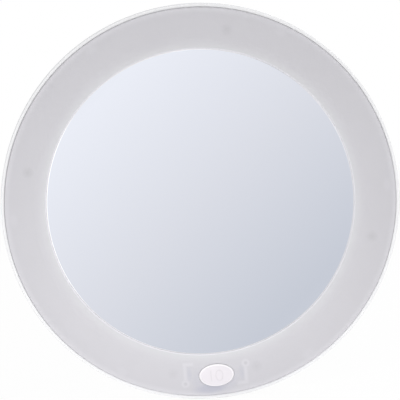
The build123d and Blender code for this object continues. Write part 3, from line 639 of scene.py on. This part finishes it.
def cell_sleeve(colours):
    """A cell along its own X from the positive end: steel ends, a printed foil sleeve,
    a gold band and plus and minus marks."""
    finish = Finish("cell_jacket")
    x, y, z = finish.parts(finish.place())
    sleeve = 1.0 - (reach(y, z) - CELL_RADIUS).fades(*SLEEVE_FADE)
    around = abs(z.turn_from(y).wrapped(math.radians(90.0)) * CELL_RADIUS)
    gold = (x - GOLD_END).fades(*GOLD_FADE)
    line = abs(x - LINE_ALONG).fades(*PRINT_LINE_FADE)
    near = abs(x - PLUS_ALONG)
    plus = near.highest(around).fades(*PRINT_LENGTH_FADE) * near.lowest(around).fades(*PRINT_STROKE_FADE)
    minus = abs(x - MINUS_ALONG).fades(*PRINT_STROKE_FADE) * around.fades(*PRINT_LENGTH_FADE)
    scratch = finish.noise(300.0, detail=6.0, roughness=0.7)
    steel = (0.62, 0.61, 0.58)
    foil = finish.layered(
        colours.sleeve,
        (scratch.fades(0.3, 0.7), shade(colours.sleeve, 1.25)),
        (gold, (0.62, 0.42, 0.16)),
        (line.highest(minus), (0.82, 0.82, 0.8)),
        (plus, (0.06, 0.07, 0.07)),
    )
    return finish.set(
        Base_Color=finish.blend(sleeve, steel, foil),
        Metallic=1.0 - sleeve * 0.45,
        Roughness=0.3 + (scratch - 0.5) * 0.16,
        Coat_Weight=sleeve * 0.5,
        Coat_Roughness=0.1,
    )


def cup_vinyl(colours):
    """Soft, slightly cloudy vinyl of the suction cups."""
    finish = Finish("cup_vinyl")
    cloud = finish.noise(70.0, detail=4.0)
    dust = finish.noise(900.0, detail=5.0, roughness=0.7)
    return finish.set(
        Base_Color=finish.blend(cloud.fades(0.3, 0.7), colours.cups, shade(colours.cups, 0.93)),
        Roughness=0.2 + dust.fades(0.7, 0.55) * 0.12,
        IOR=1.45,
        Transmission_Weight=0.45,
        Normal=finish.bump(dust, 0.02 * MM, strength=0.5),
    )


# Meshes


def mesh_object(name, mesh):
    """Finish a bmesh and link it as an object."""
    bmesh.ops.recalc_face_normals(mesh, faces=mesh.faces)
    data = bpy.data.meshes.new(name)
    mesh.to_mesh(data)
    mesh.free()
    piece = bpy.data.objects.new(name, data)
    bpy.context.scene.collection.objects.link(piece)
    return piece


def smooth(piece, angle):
    """Shade smooth, with edges sharper than the angle kept."""
    for polygon in piece.data.polygons:
        polygon.use_smooth = True
    mesh = bmesh.new()
    mesh.from_mesh(piece.data)
    for edge in mesh.edges:
        if len(edge.link_faces) == 2:
            edge.smooth = edge.calc_face_angle() < math.radians(angle)
    mesh.to_mesh(piece.data)
    mesh.free()
    return piece


def lathe(name, profile, steps=64, sharp=35.0):
    """A closed body turned round X from (distance, radius) points, ends on the axis."""
    mesh = bmesh.new()
    rings = []
    for along, radius in profile:
        if radius == 0:
            rings.append([mesh.verts.new((along, 0, 0))])
            continue
        ring = []
        for step in range(steps):
            turn = 2 * math.pi * step / steps
            ring.append(mesh.verts.new((along, radius * math.cos(turn), radius * math.sin(turn))))
        rings.append(ring)
    for one, two in zip(rings, rings[1:]):
        for step in range(steps):
            after = (step + 1) % steps
            corners = (
                one[step % len(one)], one[after % len(one)], two[after % len(two)], two[step % len(two)]
            )
            # a corner on the axis comes twice and counts once
            mesh.faces.new(list(dict.fromkeys(corners)))
    return smooth(mesh_object(name, mesh), sharp)


def slab(name, outline, thickness, rounding):
    """A flat outline in X and Z, raised towards +Y, with rounded upper edges."""
    mesh = bmesh.new()
    mesh.faces.new([mesh.verts.new((x, 0, z)) for x, z in outline])
    lifted = bmesh.ops.extrude_face_region(mesh, geom=list(mesh.faces))
    top = [item for item in lifted["geom"] if isinstance(item, bmesh.types.BMVert)]
    bmesh.ops.translate(mesh, verts=top, vec=(0, thickness, 0))
    rims = [edge for edge in mesh.edges if set(edge.verts) <= set(top) and len(edge.link_faces) == 2]
    bmesh.ops.bevel(mesh, geom=rims, offset=rounding, segments=2, affect="EDGES")
    return smooth(mesh_object(name, mesh), 50.0)


def on_crown(x, z, rise):
    """A point on the button's crowned face, raised towards the user."""
    sag = ball_sag(BUTTON_BALL, math.hypot(x, z))
    return (x, BUTTON_TOP + sag - rise, z - RING_MIDDLE)


def ribbon(mesh, points, closed):
    """A flat-topped strip on the button's crown, along a line of points."""
    section = ((-1, -MARK_PROUD), (-0.75, MARK_PROUD), (0.75, MARK_PROUD), (1, -MARK_PROUD))
    last = len(points) - 1
    rows = []
    for index, (x, z) in enumerate(points):
        before = points[index - 1] if index or closed else points[index]
        after = points[(index + 1) % len(points)] if index < last or closed else points[index]
        along = Vector((after[0] - before[0], after[1] - before[1])).normalized()
        side = Vector((-along.y, along.x)) * MARK_STROKE
        rows.append([
            mesh.verts.new(on_crown(x + side.x * share, z + side.y * share, rise))
            for share, rise in section
        ])
    pairs = list(zip(rows, rows[1:])) + ([(rows[-1], rows[0])] if closed else [])
    for one, two in pairs:
        for corner in range(len(section)):
            after = (corner + 1) % len(section)
            mesh.faces.new((one[corner], one[after], two[after], two[corner]))
    if not closed:
        mesh.faces.new(rows[0])
        mesh.faces.new(rows[-1])


def dress(finish, *nodes):
    """Give CAD nodes a finish."""
    for node in nodes:
        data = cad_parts[node].data
        data.materials.clear()
        data.materials.append(finish.owner)


def coat(piece, finish, body):
    """Give a piece its finish and its body."""
    piece.data.materials.append(finish.owner)
    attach(piece, body)
    return piece


# Settings


def colour_setting(name, description, default):
    """A property that holds a colour."""
    return FloatVectorProperty(
        name=name, description=description, default=default, subtype="COLOR", min=0.0, max=1.0
    )


class MirrorSizes(PropertyGroup):
    """Sizes of what is shaped here"""

    bevel_width: FloatProperty(
        name="Bevel width", description="Width of the bevel round the glass",
        default=0.6 * MM, unit="LENGTH", min=0.1 * MM, max=2.0 * MM,
    )
    bevel_angle: FloatProperty(
        name="Bevel angle", description="Slope of the bevel round the glass",
        default=math.radians(15.0), subtype="ANGLE", min=0.0, max=math.radians(45.0),
    )
    mark_height: FloatProperty(
        name="Mark height", description="Height of the on and off mark on the button",
        default=6.4 * MM, unit="LENGTH", min=1.0 * MM, max=8.0 * MM,
    )


class MirrorColours(PropertyGroup):
    """Colours of the finishes"""

    housing: colour_setting("Housing", "White of the housing and door", (0.92, 0.92, 0.93))
    diffuser: colour_setting("Lit ring", "Unlit colour of the frosted ring", (0.597, 0.588, 0.618))
    button: colour_setting("Button", "White of the button", (0.806, 0.772, 0.806))
    glass: colour_setting("Glass", "Tint of the silvered glass", (0.9, 0.925, 0.98))
    sleeve: colour_setting("Cell sleeve", "Foil sleeve of the cells", (0.05, 0.11, 0.1))
    cups: colour_setting("Suction cups", "Cloudy vinyl of the cups", (0.93, 0.955, 0.965))


class StudioSettings(PropertyGroup):
    """The camera and the lights"""

    distance: FloatProperty(
        name="Camera distance", description="From the ring's front",
        default=2.5, unit="LENGTH", min=0.3,
    )
    turn: FloatProperty(
        name="Camera turn", description="Round the mirror, towards its right",
        default=math.radians(-2.0), subtype="ANGLE",
    )
    height: FloatProperty(
        name="Camera height", description="Above the mirror's axis",
        default=math.radians(8.0), subtype="ANGLE",
    )
    roll: FloatProperty(
        name="Camera roll", description="Tilt of the mirror in the picture",
        default=math.radians(5.25), subtype="ANGLE",
    )
    view_width: FloatProperty(
        name="View width", description="Width of the picture at the mirror",
        default=0.2355, unit="LENGTH", min=0.05,
    )
    key_power: FloatProperty(
        name="Key light", description="Power of the key light", default=3.05, unit="POWER", min=0.0
    )
    fill_power: FloatProperty(
        name="Fill light", description="Power of the fill light", default=0.165, unit="POWER", min=0.0
    )
    back_power: FloatProperty(
        name="Back light", description="Power of the light behind", default=5.0, unit="POWER", min=0.0
    )
    sky: FloatProperty(
        name="Soft light", description="Strength of the even light", default=0.622, min=0.0
    )


# Operators, one for each piece or group of like pieces


class MIRROR_OT_housing(Operator):
    """Finish the moulded rear housing"""

    bl_idname = "mirror.housing"
    bl_label = "Rear housing"

    def execute(self, context):
        dress(housing_plastic(context.scene.mirror_colours), "rear_housing")
        return {"FINISHED"}


class MIRROR_OT_diffuser(Operator):
    """Finish the frosted ring"""

    bl_idname = "mirror.diffuser"
    bl_label = "Frosted ring"

    def execute(self, context):
        dress(frosted_plastic(context.scene.mirror_colours), "diffuser_ring")
        return {"FINISHED"}


class MIRROR_OT_glass(Operator):
    """Grind the concave glass and finish its tape"""

    bl_idname = "mirror.glass"
    bl_label = "Glass"

    def execute(self, context):
        sizes = context.scene.mirror_sizes
        glass = lathe("silvered_glass", self.profile(sizes), steps=160, sharp=8.0)
        front = Matrix.Translation((0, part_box("mirror_glass")[0].y, 0))
        glass.matrix_world = front @ Matrix.Rotation(math.radians(90.0), 4, "Z")
        coat(glass, silvered_glass(context.scene.mirror_colours, sizes), "mirror")
        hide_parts("mirror_glass")
        dress(tape_foam(), "mirror_tape")
        return {"FINISHED"}

    def profile(self, sizes):
        """Distances from the front with their radii: the concave face, its bevel, the back."""
        steps = 40
        flat = GLASS_EDGE - sizes.bevel_width
        radii = [flat * step / steps for step in range(steps + 1)]
        rim = ball_sag(GLASS_BALL, GLASS_EDGE)
        face = [(rim - ball_sag(GLASS_BALL, radius), radius) for radius in radii]
        edge = (face[-1][0] + sizes.bevel_width * math.tan(sizes.bevel_angle), GLASS_EDGE)
        back = [(along + GLASS_THICK, radius) for along, radius in reversed(face)]
        return [*face, edge, *back]


class MIRROR_OT_button(Operator):
    """Finish the button and lay its on and off mark"""

    bl_idname = "mirror.button"
    bl_label = "Button"

    def execute(self, context):
        colours = context.scene.mirror_colours
        # the oval inside the button's rounded rim, past which the painted highlight lies
        oval = (BUTTON_MIDDLE, grown(BUTTON_OVAL, -BUTTON_ROUNDING))
        dress(moulded_plastic("button_white", colours.button, 0.24, oval=oval), "power_button")
        mark = self.mark(context.scene.mirror_sizes.mark_height / 2)
        grey = moulded_plastic("button_mark", shade(colours.button, 0.9), 0.34)
        coat(mark, grey, "button")
        return {"FINISHED"}

    def mark(self, half):
        """A stroke and a ring, standing a hair above the button's crown."""
        mesh = bmesh.new()
        line_steps, loop_steps = 12, 40
        line = [half * (2 * step / line_steps - 1) for step in range(line_steps + 1)]
        ribbon(mesh, [(LINE_PLACE, up) for up in line], closed=False)
        turns = [math.tau * step / loop_steps for step in range(loop_steps)]
        loop = [(LOOP_PLACE + LOOP_HALF * math.cos(turn), half * math.sin(turn)) for turn in turns]
        ribbon(mesh, loop, closed=True)
        return smooth(mesh_object("button_mark", mesh), 40.0)


class MIRROR_OT_lighting(Operator):
    """Finish the LEDs, boards, switch and leads"""

    bl_idname = "mirror.lighting"
    bl_label = "LEDs, boards and leads"

    def execute(self, context):
        dress(solder_mask(), "switch_board", "led_board_right", "led_board_top", "led_board_left")
        dress(led_lens(), "led_lower_right", "led_right", "led_top", "led_left", "led_lower_left")
        dress(plated_metal("pin_tin", (0.72, 0.72, 0.7), 0.3), "led_legs", "switch_pins")
        dress(resistor_glaze(), "ballast_resistors")
        dress(plated_metal("screw_zinc", (0.6, 0.62, 0.66), 0.34), "board_screws")
        dress(moulded_plastic("switch_blue", (0.03, 0.06, 0.22), 0.4), "switch_body")
        dress(moulded_plastic("plunger_white", (0.8, 0.8, 0.77), 0.38), "switch_plunger")
        dress(lead_jacket("lead_red", (0.5, 0.02, 0.015)), "ring_lead_red", "battery_lead_red")
        dress(lead_jacket("lead_black", (0.015, 0.015, 0.016)), "ring_lead_black", "battery_lead_black")
        return {"FINISHED"}


class MIRROR_OT_cells(Operator):
    """Turn the three cells and finish their contacts"""

    bl_idname = "mirror.cells"
    bl_label = "Cells and contacts"

    def execute(self, context):
        finish = cell_sleeve(context.scene.mirror_colours)
        points = [(along * MM, radius * MM) for along, radius in POLE_END]
        points += [(CELL_LENGTH - along * MM, radius * MM) for along, radius in FLAT_END]
        # the middle cell faces the other way
        for number, pole_side in enumerate((1, -1, 1), 1):
            node = f"battery_cell_{number}"
            low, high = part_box(node)
            cell = lathe(f"cell_{number}", points)
            pole = high.x if pole_side > 0 else low.x
            middle = (low + high) / 2
            turn = Matrix.Rotation(math.pi if pole_side > 0 else 0.0, 4, "Z")
            cell.matrix_world = Matrix.Translation((pole, middle.y, middle.z)) @ turn
            coat(cell, finish, "mirror")
            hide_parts(node)
        nickel = plated_metal("contact_nickel", (0.74, 0.71, 0.64), 0.26)
        dress(nickel, "contact_positive", "contact_bridge_left", "contact_bridge_right", "contact_negative")
        return {"FINISHED"}


class MIRROR_OT_door(Operator):
    """Finish the cell door and its latch, and raise the arrow on it"""

    bl_idname = "mirror.door"
    bl_label = "Cell door"

    def execute(self, context):
        finish = moulded_plastic("door_white", context.scene.mirror_colours.housing, 0.34, 0.03 * MM)
        dress(finish, "battery_door", "door_latch")
        arrow = slab("door_arrow", ARROW, ARROW_THICK, ARROW_ROUNDING)
        arrow.location = (0, BACK_FACE - ARROW_SUNK, ARROW_PLACE)
        coat(arrow, finish, "door")
        return {"FINISHED"}


class MIRROR_OT_cups(Operator):
    """Finish the suction cups"""

    bl_idname = "mirror.cups"
    bl_label = "Suction cups"

    def execute(self, context):
        finish = cup_vinyl(context.scene.mirror_colours)
        dress(finish, "suction_cup_top", "suction_cup_left", "suction_cup_right")
        return {"FINISHED"}


# Studio


def backdrop_world(settings):
    """White behind the mirror; a soft grey fall-off for what gloss reflects; even light."""
    sky = Finish("studio", bpy.data.worlds)
    bpy.context.scene.world = sky.owner
    camera = sky.node("ShaderNodeLightPath", output="Is Camera Ray")
    gloss = sky.node("ShaderNodeLightPath", output="Is Glossy Ray")
    clear = sky.node("ShaderNodeLightPath", output="Is Transmission Ray")
    across, along, up = sky.parts(sky.node("ShaderNodeTexCoord", output="Generated"))
    fall = up * FALL_UP - across * FALL_ACROSS
    span = sky.node(
        "ShaderNodeMapRange", None, {"Value": fall, "From Min": -FALL_REACH, "From Max": FALL_REACH}
    )
    grey = sky.node("ShaderNodeValToRGB", {"stops": REFLECTED_GREYS}, {0: span})
    panel = oval_mask(across, up, PANEL_OVAL, PANEL_FULL) * along.fades(*PANEL_FRONT_FADE)
    colour = sky.layered(
        (settings.sky,) * 3,
        (gloss, sky.blend(panel, grey, PANEL_LIGHT)),
        (camera.highest(clear), WHITE),
    )
    sky.feed(sky.tree.nodes["Background"].inputs["Color"], colour)


def floor_finish():
    """A pale floor that the camera sees nearly white, with the shadow kept."""
    finish = Finish("pale_floor")
    grain = finish.noise(40.0, detail=4.0)
    finish.set(
        Base_Color=finish.blend(grain, (0.9, 0.9, 0.9), (0.93, 0.93, 0.93)),
        Roughness=0.8,
        Specular_IOR_Level=0.1,
    )
    camera = finish.node("ShaderNodeLightPath", output="Is Camera Ray")
    lit = Signal(finish, finish.tree.nodes["Principled BSDF"].outputs["BSDF"])
    glow = finish.node("ShaderNodeEmission", None, {"Color": WHITE, "Strength": 1.0})
    both = finish.node("ShaderNodeMixShader", None, {0: camera * FLOOR_GLOW, 1: lit, 2: glow})
    finish.feed(finish.tree.nodes["Material Output"].inputs["Surface"], both)
    return finish


def lamp(name, place, aim, size, power):
    """A square soft light aimed at a point."""
    data = bpy.data.lights.new(name, "AREA")
    data.size = size
    data.energy = power
    light = bpy.data.objects.new(name, data)
    bpy.context.scene.collection.objects.link(light)
    light.location = place
    light.rotation_euler = (Vector(aim) - Vector(place)).to_track_quat("-Z", "Y").to_euler()
    return light


class MIRROR_OT_stage(Operator):
    """Set the floor, lights and camera"""

    bl_idname = "mirror.stage"
    bl_label = "Studio"

    def execute(self, context):
        scene = context.scene
        settings = scene.mirror_studio
        scene.view_settings.view_transform = "Standard"
        backdrop_world(settings)
        self.floor()
        self.lamps(settings)
        self.camera(scene, settings)
        return {"FINISHED"}

    def lamps(self, settings):
        """A key light high in front, a small fill before the lower ring, a light behind."""
        lamp("key", **KEY_LAMP, power=settings.key_power)
        fill = lamp("fill", **FILL_LAMP, power=settings.fill_power)
        fill.visible_camera = False
        fill.visible_glossy = False
        lamp("back_light", **BACK_LAMP, power=settings.back_power)

    def floor(self):
        """A square floor just under the mirror's lowest edge."""
        mesh = bmesh.new()
        low = cad_box[0].z - FLOOR_DROP
        corners = [(x * FLOOR_HALF, y * FLOOR_HALF) for x, y in ((-1, -1), (1, -1), (1, 1), (-1, 1))]
        mesh.faces.new([mesh.verts.new((x, y, low)) for x, y in corners])
        floor = mesh_object("floor", mesh)
        floor.data.materials.append(floor_finish().owner)
        floor.visible_glossy = False

    def camera(self, scene, settings):
        """A camera far in front, tilted so that the mirror leans as in the picture."""
        data = bpy.data.cameras.new("camera")
        data.sensor_width = 36.0
        data.lens = data.sensor_width * settings.distance / settings.view_width
        camera = bpy.data.objects.new("camera", data)
        scene.collection.objects.link(camera)
        level = math.cos(settings.height)
        back = Vector((
            math.sin(settings.turn) * level, -math.cos(settings.turn) * level, math.sin(settings.height)
        ))
        look = (-back).to_track_quat("-Z", "Y").to_matrix().to_4x4()
        roll = Matrix.Rotation(-settings.roll, 4, "Z")
        place = Matrix.Translation(Vector(CAMERA_AIM) + back * settings.distance)
        camera.matrix_world = place @ look @ roll
        data.clip_start, data.clip_end = 0.01, 20.0
        scene.camera = camera


class MIRROR_PT_parts(Panel):
    """Lists the operators and their settings"""

    bl_label = "Makeup mirror"
    bl_idname = "MIRROR_PT_parts"
    bl_space_type = "VIEW_3D"
    bl_region_type = "UI"
    bl_category = "Mirror"

    def draw(self, context):
        scene = context.scene
        for settings in (scene.mirror_sizes, scene.mirror_colours, scene.mirror_studio):
            box = self.layout.box()
            for name in settings.__annotations__:
                box.prop(settings, name)
        for operator in OPERATORS:
            self.layout.operator(operator.bl_idname)


OPERATORS = (
    MIRROR_OT_housing,
    MIRROR_OT_diffuser,
    MIRROR_OT_glass,
    MIRROR_OT_button,
    MIRROR_OT_lighting,
    MIRROR_OT_cells,
    MIRROR_OT_door,
    MIRROR_OT_cups,
    MIRROR_OT_stage,
)
CLASSES = (MirrorSizes, MirrorColours, StudioSettings, *OPERATORS, MIRROR_PT_parts)


def register():
    for entry in CLASSES:
        bpy.utils.register_class(entry)
    bpy.types.Scene.mirror_sizes = PointerProperty(type=MirrorSizes)
    bpy.types.Scene.mirror_colours = PointerProperty(type=MirrorColours)
    bpy.types.Scene.mirror_studio = PointerProperty(type=StudioSettings)


def unregister():
    del bpy.types.Scene.mirror_studio
    del bpy.types.Scene.mirror_colours
    del bpy.types.Scene.mirror_sizes
    for entry in reversed(CLASSES):
        bpy.utils.unregister_class(entry)


def main():
    """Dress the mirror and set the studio."""
    register()
    for operator in OPERATORS:
        group, name = operator.bl_idname.split(".")
        getattr(getattr(bpy.ops, group), name)()


if __name__ == "__main__":
    main()
